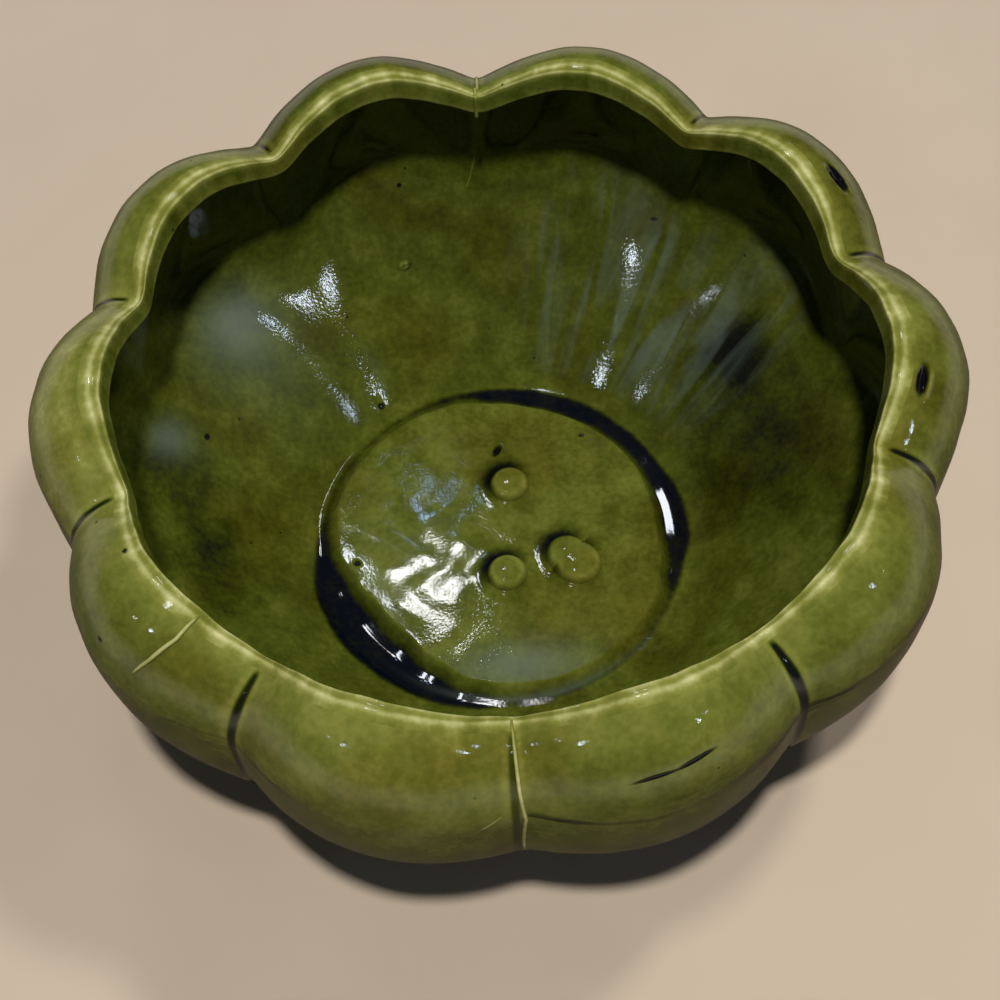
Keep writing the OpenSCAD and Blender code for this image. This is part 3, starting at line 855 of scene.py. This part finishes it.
# Under the overhang, past the third ridge, the colour turns nearly black: painted shade of the lip's shadow.
under_lip = np.clip((row - starts[2]) / (len(face) - 1 - starts[2]), 0, 1)
face_depth_and_light = np.where(row > starts[2] + 3, face_depth_and_light + (UNDER_LIP_SHADE_DEPTH - face_depth_and_light) * under_lip, face_depth_and_light)
face_soft = np.interp(row, starts, RIDGE_SOFT)
back_soft = np.interp(np.arange(len(lip_back(1))), (0, 4, len(lip_back(1)) - 1), RIDGE_SOFT[::-1])
lip_finish = rows_of((face_soft, face_depth_and_light, 0), (back_soft, LAND_DEPTH, np.zeros(len(back_soft))))
lip = lobed_piece("lip_glaze_coat", lip_section, lip_finish, COLUMNS, olive_glaze)
around = np.radians(turns_of(get_points(lip.data)))
coarse = np.sin(31 * around + 2 * np.sin(7 * around))
fine = np.sin(83 * around + 3 * np.sin(11 * around))
blotches = LIP_BLOTCH * coarse + LIP_BLOTCH * fine
lip_depth_and_light = finish_of(lip.data)[:, 1]
mark(lip.data, "glaze_depth_and_painted_light", lip_depth_and_light + blotches * np.clip((0.7 - lip_depth_and_light) / 0.3, 0, 1))
dress_wall(lip, "lip_glaze")

# %% [markdown]
# The inside coat lies thicker than the outside one, because glaze is poured into a bowl and swirled before
# it is tipped out, and it is drawn a little darker again as painted shade on the inside wall. Under the
# overhang of the lip it is painted nearly black: painted shade where the lip's shadow falls. It runs down to
# the ledge round the floor, where the wall starts at a slope of its own rather than level, as a turned toe
# does.

# %% Inside glaze
# The inside depth is partly deeper glaze and partly painted shade on the inside wall.
DEEP_OLIVE_AND_SHADE_DEPTH = 0.6
SHADE_ENDS, SHADE_FADES = 75, 50
FILM, FILM_TURN, FILM_SPAN = 0.55, 144, 26
FILM_TOP, FILM_TOP_FADES, FILM_LOW, FILM_LOW_FADES = 120, 25, 178, 12
FILM_SPOT = (215, 3, 170, 5, 1.2)
# Painted reflections: soft window glows on the left of the inside wall, laid on in the film's grey.
PAINTED_WINDOW_GLOWS = ((230.5, 6, 147, 8, 0.55), (256.5, 3.6, 145, 6, 0.5), (232, 10, 150, 14, 0.2))
TOE_LEAN = 176
inside_lean = np.linspace(UNDER_LEAN, TOE_LEAN, FACE_ROWS)
inside_back = np.linspace(TOE_LEAN, UNDER_LEAN, HIDDEN_ROWS)


def inside_section(swell):
    """Closed section of the inside coat: up its back, down its face."""
    return np.vstack([meridian(swell, inside_back, CLAY_IN), meridian(swell, inside_lean, WALL_T)])


def soft_patch(across, down, patch):
    """Patch that fades to all sides: its middle and half width across, the same two down, its strength."""
    middle_x, half_x, middle_y, half_y, amount = patch
    return amount * np.exp(-((across - middle_x) / half_x) ** 2 - ((down - middle_y) / half_y) ** 2)


inside_finish = rows_of(
    (INSIDE_SOFT, DEEP_OLIVE_AND_SHADE_DEPTH, inside_back), (INSIDE_SOFT, DEEP_OLIVE_AND_SHADE_DEPTH, inside_lean))
inside = lobed_piece("inside_glaze_coat", inside_section, inside_finish, COLUMNS, olive_glaze)
lean = finish_of(inside.data)[:, 2]
# Painted shade: darker towards the lip, nearly black under its overhang, where the lip's shadow falls.
mark(inside.data, "glaze_depth_and_painted_light",
     DEEP_OLIVE_AND_SHADE_DEPTH + (UNDER_LIP_SHADE_DEPTH - DEEP_OLIVE_AND_SHADE_DEPTH) * np.clip((SHADE_ENDS - lean) / SHADE_FADES, 0, 1))
turn = turns_of(get_points(inside.data))
film = FILM * np.exp(-((turn - FILM_TURN) / FILM_SPAN) ** 4) + soft_patch(turn, lean, FILM_SPOT)
film = film * np.clip((lean - FILM_TOP) / FILM_TOP_FADES, 0, 1)
mark(inside.data, "lime_film", film * np.clip((FILM_LOW - lean) / FILM_LOW_FADES, 0, 1))
# The window glows are painted reflection.
mark(inside.data, "film_and_painted_sheen", sum(soft_patch(turn, lean, window_glow) for window_glow in PAINTED_WINDOW_GLOWS))
dress_wall(inside, "inside_glaze", INNER)

# %% [markdown]
# The floor is round, so its pieces are lofted by a plain function: a closed section for each column, joined
# column to column. The sections may differ, because the raised disc of this casting is not quite round and
# the pool beside it is wide at the front left and at the right, and a mere line elsewhere. Its two edges are
# given every fifteen degrees from the front, with a smooth curve between.

# %% Round pieces
ROUND_COLUMNS = 360
GUTTER_R = 48.9
POOL_OUT = (
    46.4, 46.1, 45.8, 45.5, 45.3, 45.8, 47.6, 47.6, 46.9, 47.3, 48.0, 48.3,
    48.4, 48.2, 48.1, 48.0, 48.0, 48.0, 48.8, 50.3, 50.2, 49.1, 48.6, 47.8)
POOL_IN = (
    44.8, 45.2, 45.0, 44.7, 44.5, 43.0, 41.6, 42.1, 43.0, 43.4, 43.5, 43.8,
    44.8, 46.8, 47.2, 47.2, 47.2, 47.0, 45.6, 42.0, 39.9, 39.6, 41.4, 44.0)


def loft(name, sections, material):
    """Closed ring through one section per column; a section's points are radius and height in mm."""
    sections = np.asarray(sections)
    columns, rows = sections.shape[:2]
    turn = np.arange(columns) * math.tau / columns + FRONT_TURN
    points = np.stack([
        sections[..., 0] * np.cos(turn)[:, None], sections[..., 0] * np.sin(turn)[:, None],
        sections[..., 1]], axis=-1).reshape(-1, 3) * MM
    faces = [(c * rows + r, d * rows + r, d * rows + s, c * rows + s)
             for c in range(columns) for d in [(c + 1) % columns]
             for r in range(rows) for s in [(r + 1) % rows]]
    mesh = bpy.data.meshes.new(name)
    mesh.from_pydata(points.tolist(), [], faces)
    return finished(name, mesh, material)


def finished(name, mesh, material):
    """Object with welded points, outward faces and smooth shading."""
    work = bmesh.new()
    work.from_mesh(mesh)
    bmesh.ops.remove_doubles(work, verts=work.verts, dist=1e-7)
    bmesh.ops.recalc_face_normals(work, faces=work.faces)
    work.to_mesh(mesh)
    work.free()
    mesh.shade_smooth()
    mesh.set_sharp_from_angle(angle=math.radians(SHARP_DEG))
    mesh.materials.append(material)
    piece = bpy.data.objects.new(name, mesh)
    scene.collection.objects.link(piece)
    print(name, "faces:", len(mesh.polygons))
    return piece


def disc_edge(turn_deg):
    """Radius of the raised disc at a turn from the front."""
    return round_values(turn_deg, POOL_IN)


# %% [markdown]
# The pool. Glaze that ran down the wall filled the gutter and froze there, blue-black where it stood deep.
# Liquid climbs a bank, so it curls up towards the wall. Beside the disc it froze almost level, on a sill
# less than two millimetres wide, and that narrow mirror draws the lamps out into bars of light. On the inner
# side it thins over the rounded edge of the disc.

# %% Gutter pool
POOL_Z, DISC_SHOULDER = 6.4, 3.2
SILL_MM, SILL_ROWS = 1.8, 7
SILL_TILT, SILL_TILT_SWING, SILL_TILT_TURN = 0.056, 0.088, 100
GUTTER_FLOOR_Z, LEDGE_CLAY_Z = 5.4, LEDGE_Z - GLAZE_T
SHOULDER_ROWS, BANK_ROWS = 16, 36
DISC_DEPTH = 0.53
POOL_LEAST, POOL_FULL_MM = 0.3, 5
# Painted reflection: a grey sheen over the front of the pool.
FRONT_PAINTED_SHEEN = (5, 28, 44.8, 1.0, 0.3)


def pool_face(turn_deg):
    """Top of the pool from the wall inwards: down the bank, over an almost level sill, then up to the disc.
    The bank starts as steep as the wall, levels off soon, and runs out into the sill."""
    toe_r, toe_z = meridian(swell_at(turn_deg, INSIDE_SOFT), TOE_LEAN, WALL_T)
    low_r = disc_edge(turn_deg)
    sill_r = low_r + SILL_MM
    sill_z = max(POOL_Z, toe_z - HAUNCH_SLOPE * (toe_r - sill_r) / 2)
    tilt = SILL_TILT + SILL_TILT_SWING * math.cos(math.radians(turn_deg - SILL_TILT_TURN))
    t = np.linspace(1, 0, BANK_ROWS)
    mean = (toe_z - sill_z) / (toe_r - sill_r)
    even = (mean - tilt - (HAUNCH_SLOPE - tilt) / 7) / (1 / 2 - 1 / 7)
    rise = tilt * t + even * t ** 2 / 2 + (HAUNCH_SLOPE - tilt - even) * t ** 7 / 7
    bank = np.column_stack([sill_r + (toe_r - sill_r) * t, sill_z + (toe_r - sill_r) * rise])
    inwards = np.linspace(0, SILL_MM, SILL_ROWS)[1:]
    sill = np.column_stack([sill_r - inwards, sill_z - tilt * inwards])
    low_z = sill[-1, 1]
    s = np.linspace(0, 1, SHOULDER_ROWS)[1:]
    shoulder = np.column_stack([low_r - DISC_SHOULDER * s, low_z + (DISC_H - low_z) * smooth_step(s)])
    return np.vstack([bank, sill, shoulder])


def pool_section(turn_deg):
    """Closed section of the pool over the clay gutter."""
    face = pool_face(turn_deg)
    inner = face[-1, 0]
    under = [(inner, DISC_H - GLAZE_T), (inner + 0.6, GUTTER_FLOOR_Z), (GUTTER_R, GUTTER_FLOOR_Z),
             (GUTTER_R + 0.7, LEDGE_CLAY_Z - 1.2), (FLOOR_R, LEDGE_CLAY_Z),
             (face[0, 0], face[0, 1] - GLAZE_T)]
    return np.vstack([face, under])


column_turns = np.arange(ROUND_COLUMNS) * 360 / ROUND_COLUMNS
pool = loft("gutter_glaze_pool", [pool_section(t) for t in column_turns], olive_glaze)
points = get_points(pool.data) / MM
radius = np.hypot(points[:, 0], points[:, 1])
turn = turns_of(points)
outer, inner = round_values(turn, POOL_OUT), round_values(turn, POOL_IN)
strength = np.clip(POOL_LEAST + (outer - inner) / POOL_FULL_MM, 0, 1)
deep = strength * smooth_step(np.clip((outer + 1 - radius) / 2, 0, 1))
deep = deep * smooth_step(np.clip((radius - inner + 2) / 3, 0, 1))
shallow = np.interp(radius, (44, 48), (DISC_DEPTH, DEEP_OLIVE_AND_SHADE_DEPTH))
mark(pool.data, "glaze_depth_and_painted_light", shallow + (1 - shallow) * deep)
# The pool's front carries the painted sheen.
from_front = (turn + 180) % 360 - 180
mark(pool.data, "film_and_painted_sheen", soft_patch(from_front, radius, FRONT_PAINTED_SHEEN))
tie(pool, "gutter_glaze")

# %% [markdown]
# The disc of the floor carries three round buttons, left by the casting. Glaze stood against their feet, so
# the coat rises to them in a small fillet, and the colour is darker round each foot, most at the back left.
# The disc is a height map on rings, fine enough for those fillets.

# %% Floor glaze
BUTTONS = {
    "back_button": ("back_boss", ((2, 15.5, 5.2),)),
    "front_button": ("front_boss", ((0, -11, 5.2),)),
    "double_button": ("double_boss", ((15.3, -6.2, 5.2), (18.2, -9.4, 6.1)))}
CIRCLES = [circle for node, circles in BUTTONS.values() for circle in circles]
RINGS = 110
FILLET_MM, FILLET_H = 1.1, 0.5
DARK_FOOT_DEPTH, DARK_FOOT_MM, DARK_FOOT_WAY = 0.5, 2.6, 125
DISC_WAVE_MM, EDGE_CALM_MM = 0.025, 8
DISC_FILM = (1.6, 15, -36.9, 6, 0.55)
RIPPLE_AT, RIPPLE_REACH_MM = (-24, -6), 22


def inside_distance(x, y, circles):
    """How far a point lies inside the nearest of some circles, in mm; negative outside."""
    return np.max([r - np.hypot(x - cx, y - cy) for cx, cy, r in circles], axis=0)


def floor_height(x, y):
    """Height of the glazed disc with its fillets and its slow waves."""
    outside_by = np.maximum(-inside_distance(x, y, CIRCLES), 0)
    fillet = FILLET_H * np.exp(-outside_by / FILLET_MM)
    waves = DISC_WAVE_MM * np.sin(x * 0.42 + 1.1 * np.sin(y * 0.31))
    waves = waves * np.cos(y * 0.37 + 0.9 * np.sin(x * 0.23) + 0.4)
    edge = disc_edge(turns_of(np.column_stack([x, y])))
    calm = np.clip((edge - np.hypot(x, y)) / EDGE_CALM_MM, 0, 1)
    pits = 0
    for pit_x, pit_y, long_mm, wide_mm, tilt, stain, relief in FLOOR_PITS:
        cosine, sine = math.cos(math.radians(tilt)), math.sin(math.radians(tilt))
        along = ((x - pit_x) * cosine + (y - pit_y) * sine) / long_mm
        across = ((y - pit_y) * cosine - (x - pit_x) * sine) / wide_mm
        pits = pits + max(relief, -PIT_MM) * smooth_step(np.clip(1 - np.hypot(along, across), 0, 1))
    return DISC_H + fillet + waves * calm + pits


def back_left_share(points):
    """Share of the darkening round each button's foot: most at its back left."""
    nearest = np.argmin([np.hypot(points[:, 0] - x, points[:, 1] - y) - r for x, y, r in CIRCLES], axis=0)
    middles = np.array(CIRCLES)[nearest, :2]
    way = np.arctan2(points[:, 1] - middles[:, 1], points[:, 0] - middles[:, 0])
    return np.clip(0.15 + 0.85 * np.cos(way - math.radians(DARK_FOOT_WAY)), 0.05, 1)


rings = np.linspace(0, 1, RINGS)[1:]
rim = disc_edge(column_turns) - DISC_SHOULDER
turn = np.radians(column_turns) + FRONT_TURN
ring_x = np.outer(np.cos(turn) * rim, rings)
ring_y = np.outer(np.sin(turn) * rim, rings)
ring_z = floor_height(ring_x.ravel(), ring_y.ravel()).reshape(ring_x.shape)
top = np.stack([np.hypot(ring_x, ring_y), ring_z], -1)
top[:, -1, 1] = DISC_H
centre = np.full((ROUND_COLUMNS, 1, 2), (0, DISC_H))
under_z = np.full(ROUND_COLUMNS, DISC_H - GLAZE_T)
under = np.stack([np.column_stack([rim * share, under_z]) for share in (1, 0)], axis=1)
disc = loft("floor_glaze_coat", np.concatenate([centre, top, under], axis=1), olive_glaze)
points = get_points(disc.data) / MM
away = np.maximum(-inside_distance(points[:, 0], points[:, 1], CIRCLES), 0)
# The disc darkens round each button's foot, most at the back left.
dark_foot = DARK_FOOT_DEPTH * np.exp(-(away / DARK_FOOT_MM) ** 2) * back_left_share(points)
mark(disc.data, "glaze_depth_and_painted_light", DISC_DEPTH + dark_foot)
mark(disc.data, "film_and_painted_sheen", soft_patch(points[:, 0], points[:, 1], DISC_FILM))
from_ripple = np.hypot(points[:, 0] - RIPPLE_AT[0], points[:, 1] - RIPPLE_AT[1])
mark(disc.data, "ripple", np.exp(-(from_ripple / RIPPLE_REACH_MM) ** 4))
tie(disc, "floor_glaze")

# %% [markdown]
# Each button is a low round boss with a rounded rim and a domed top. The rim is pale, where the glaze broke
# over it, and the foot is darker at its back left. The double one is two buttons run together, so its
# outline is the farther one of two circles along each ray from their middle, melted where they meet.

# %% Buttons
BUTTON_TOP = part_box("back_boss")[1].z / MM
BUTTON_ROUND, BUTTON_DOME_R, MELT_MM = 1.7, 14, 0.9
BUTTON_DEPTH, RIM_THINNER, FOOT_DARKER = 0.47, 0.1, 0.45
RAYS, RAY_ROWS = 144, 40


def soft_most(values):
    """Largest of some values, rounded off where two of them are about equal."""
    return MELT_MM * np.log(np.sum(np.exp(np.array(values) / MELT_MM), axis=0))


def button_outline(circles, angles):
    """Middle of the circles, and the farthest reach of any of them along each ray from it."""
    middle = np.mean([c[:2] for c in circles], axis=0)
    reach = []
    for cx, cy, r in circles:
        dx, dy = cx - middle[0], cy - middle[1]
        along = dx * np.cos(angles) + dy * np.sin(angles)
        reach.append(along + np.sqrt(np.maximum(along ** 2 + r * r - dx * dx - dy * dy, 0)))
    return middle, soft_most(reach)


def button(name, node, circles):
    """Boss with a flared foot, a rounded rim and a domed top."""
    angles = np.linspace(0, math.tau, RAYS, endpoint=False)
    middle, reach = button_outline(circles, angles)
    columns = []
    for share in np.linspace(0, 1, RAY_ROWS):
        x = middle[0] + reach * share * np.cos(angles)
        y = middle[1] + reach * share * np.sin(angles)
        inside_by = np.maximum(soft_most([r - np.hypot(x - cx, y - cy) for cx, cy, r in circles]), 0)
        rim = np.clip(1 - inside_by / BUTTON_ROUND, 0, 1)
        deepest = max(c[2] for c in circles)
        fall = (deepest - inside_by) ** 2 / (2 * BUTTON_DOME_R)
        columns.append(np.stack([x, y, BUTTON_TOP - BUTTON_ROUND * (1 - np.sqrt(1 - rim ** 2)) - fall], -1))
    edge_z = columns[-1][:, 2]
    for drop, flare in ((0.15, 0.08), (0.35, 0.2), (0.6, 0.4), (0.9, 0.75), (2.0, 0.9)):
        x = middle[0] + (reach + flare) * np.cos(angles)
        y = middle[1] + (reach + flare) * np.sin(angles)
        columns.append(np.stack([x, y, edge_z - drop], -1))
    columns.append(np.stack([0 * angles + middle[0], 0 * angles + middle[1], columns[-1][:, 2]], -1))
    grid = np.array(columns)
    rows, count = grid.shape[:2]
    faces = [(r * count + c, r * count + d, (r + 1) * count + d, (r + 1) * count + c)
             for r in range(rows - 1) for c in range(count) for d in [(c + 1) % count]]
    mesh = bpy.data.meshes.new(name)
    mesh.from_pydata((grid.reshape(-1, 3) * MM).tolist(), [], faces)
    piece = finished(name, mesh, olive_glaze)
    points = get_points(piece.data) / MM
    inside_by = inside_distance(points[:, 0], points[:, 1], circles)
    low = np.clip((BUTTON_TOP - 0.5 - points[:, 2]) / 0.8, 0, 1)
    pale = np.exp(-((inside_by - 1.2) / 0.9) ** 2)
    foot_darkening = FOOT_DARKER * low * back_left_share(points)
    mark(piece.data, "glaze_depth_and_painted_light", BUTTON_DEPTH - RIM_THINNER * pale + foot_darkening)
    mark(piece.data, "skin", points * MM)
    tie(piece, node)


for name, (node, circles) in BUTTONS.items():
    button(name, node, circles)

# %% [markdown]
# Under the bowl the clay is bare. The floor's underside and the foot ring are turned smooth, and the ring's
# edges are rounded by sponging, so it stands on a narrow flat band.

# %% Floor and foot of clay
FOOT_R, FOOT_W, FOOT_H = 51, 8, 3.3
foot_corners = [np.array(p, float) for p in (
    (FOOT_R - FOOT_W, FOOT_H), (FOOT_R - FOOT_W, 0), (FOOT_R, 0), (FOOT_R, FOOT_H))]
foot_chain = rounded(foot_corners, (1.4, 1.4), 8, 3)
foot = loft("dry_foot_ring", [foot_chain] * 180, buff_clay)
tie(foot, "foot_ring")


def floor_section(turn_deg):
    """Closed section of the clay floor, with the gutter round its raised disc."""
    edge = disc_edge(turn_deg) - DISC_SHOULDER
    return [(0, FOOT_H), (30, FOOT_H), (FOOT_R - FOOT_W, FOOT_H), (FLOOR_R, FOOT_H), (FLOOR_R, LEDGE_CLAY_Z),
            (GUTTER_R + 0.7, LEDGE_CLAY_Z - 1.2), (GUTTER_R, GUTTER_FLOOR_Z), (edge + 0.4, GUTTER_FLOOR_Z),
            (edge - 0.2, DISC_H - GLAZE_T), (0, DISC_H - GLAZE_T)]


clay_floor = loft("earthenware_floor", [floor_section(t) for t in column_turns], buff_clay)
tie(clay_floor, "clay_floor")

# %% [markdown]
# Seams. The bowl was cast in a plaster mould of several pieces, and a thin fin of clay was left where they
# met. Fettling took most of it off. What is left is a pale bead along the front groove, one over the lip at
# the back, and a short one on a lobe at the left. A bead follows a path, so a small tree sweeps a round
# profile along points that lie on the glaze.


# %% Seam tree
def seam_tree():
    """Tree that sweeps a round bead along a chain of points, tapering to its ends."""
    tree = bpy.data.node_groups.new("mould_seam", "GeometryNodeTree")
    for name, kind in (
            ("Path", "Geometry"), ("Bead Radius", "Float"), ("Sides", "Int"), ("Material", "Material")):
        tree.interface.new_socket(name, in_out="INPUT", socket_type="NodeSocket" + kind)
    tree.interface.new_socket("Seam", in_out="OUTPUT", socket_type="NodeSocketGeometry")
    size = add_node(tree, "NodeGroupInput").outputs
    path = add_node(tree, "GeometryNodeMeshToCurve", {"Mesh": size["Path"]})
    along = add_node(tree, "GeometryNodeSplineParameter")
    ends = maths(tree, "MULTIPLY", along.outputs["Factor"], math.pi)
    arch = maths(tree, "SINE", ends)
    level = maths(tree, "POWER", arch, 0.22)
    shaped = add_node(tree, "GeometryNodeSetCurveRadius", {"Curve": path, "Radius": level})
    ring = add_node(tree, "GeometryNodeCurvePrimitiveCircle", {
        "Resolution": size["Sides"], "Radius": size["Bead Radius"]})
    bead = add_node(tree, "GeometryNodeCurveToMesh", {
        "Curve": shaped, "Profile Curve": ring, "Scale": level, "Fill Caps": True})
    smooth = add_node(tree, "GeometryNodeSetShadeSmooth", {"Geometry": bead})
    real = add_node(tree, "GeometryNodeRealizeInstances", {"Geometry": smooth})
    dressed = add_node(tree, "GeometryNodeSetMaterial", {"Geometry": real, "Material": size["Material"]})
    add_node(tree, "NodeGroupOutput", {"Seam": dressed})
    return tree


MOULD_SEAM = seam_tree()


def over_lip(turn_deg):
    """Points over the lip at a turn, from the outside to the inside."""
    swell = swell_at(turn_deg, OUTSIDE_SOFT)
    angle = math.radians(turn_deg) + FRONT_TURN
    return [np.array((r * math.cos(angle), r * math.sin(angle), z)) * MM for r, z in lip_face(swell)]


def seam(name, node, path, bead_mm, seam_depths):
    """Bead along a path on the glaze; seam_depths holds heights in mm and the glaze's depth on its crest."""
    path = bend(np.array(path))
    mesh = bpy.data.meshes.new(name + "_path")
    mesh.from_pydata(path.tolist(), [(i, i + 1) for i in range(len(path) - 1)], [])
    piece = grown(name, mesh, MOULD_SEAM, {
        "Bead Radius": bead_mm * MM, "Sides": 10, "Material": olive_glaze})
    points = get_points(piece.data)
    nearest = path[np.argmin(np.linalg.norm(points[:, None] - path[None], axis=2), axis=1)]
    flat = np.hypot(nearest[:, 0], nearest[:, 1])
    shrink = np.column_stack([TUBE_R * MM / flat, TUBE_R * MM / flat, TUBE_Z * MM / nearest[:, 2]])
    outward = nearest - nearest * shrink
    outward = outward / np.linalg.norm(outward, axis=1)[:, None]
    crest = np.clip(np.abs(np.sum((points - nearest) * outward, axis=1)) / (bead_mm * MM), 0, 1)
    crest_depth = np.interp(points[:, 2] / MM, seam_depths[0], seam_depths[1])
    mark(piece.data, "glaze_depth_and_painted_light", OLIVE_DEPTH + (crest_depth - OLIVE_DEPTH) * smooth_step(crest))
    mark(piece.data, "skin", points)
    tie(piece, node)
    print(name, "faces:", len(piece.data.polygons))


SUNK_MM, TUBE_R, TUBE_Z = 0.25, 75, 60
FRONT_WANDER = ((1, 23, 55, 91, 106), (-0.8, -0.6, -0.3, 0.3, -0.1))
BACK_WANDER = ((95, 112, 126, 134), (180.7, 180.7, 182.0, 183.2))
LEFT_WANDER = ((20, 42, 62), (314.1, 312.9, 311.4))
front_path = [on_wall(np.interp(lean, *FRONT_WANDER), lean, 0, OUTSIDE_SOFT)
              for lean in np.linspace(125, LIP_LEAN, 44)] + over_lip(-0.8)[:24]
seam("front_mould_seam", "front_seam", front_path, 0.5, ((30, 80), (0.18, 0.08)))
back_path = [on_wall(180, lean, 0, OUTSIDE_SOFT) for lean in np.linspace(90, LIP_LEAN, 30)] + over_lip(180.4)
back_path += [on_wall(np.interp(lean, *BACK_WANDER), lean, WALL_T - SUNK_MM, INSIDE_SOFT)
              for lean in np.linspace(UNDER_LEAN, 134, 44)]
seam("back_mould_seam", "back_seam", back_path, 0.5, ((40, 70, 80), (0.42, 0.5, 0.16)))
left_path = [on_wall(np.interp(lean, *LEFT_WANDER), lean, 0, OUTSIDE_SOFT)
             for lean in np.linspace(62, LIP_LEAN, 30)] + over_lip(314.1)[:14]
seam("left_mould_seam", "left_seam", left_path, 0.55, ((60, 80), (0.1, 0.08)))
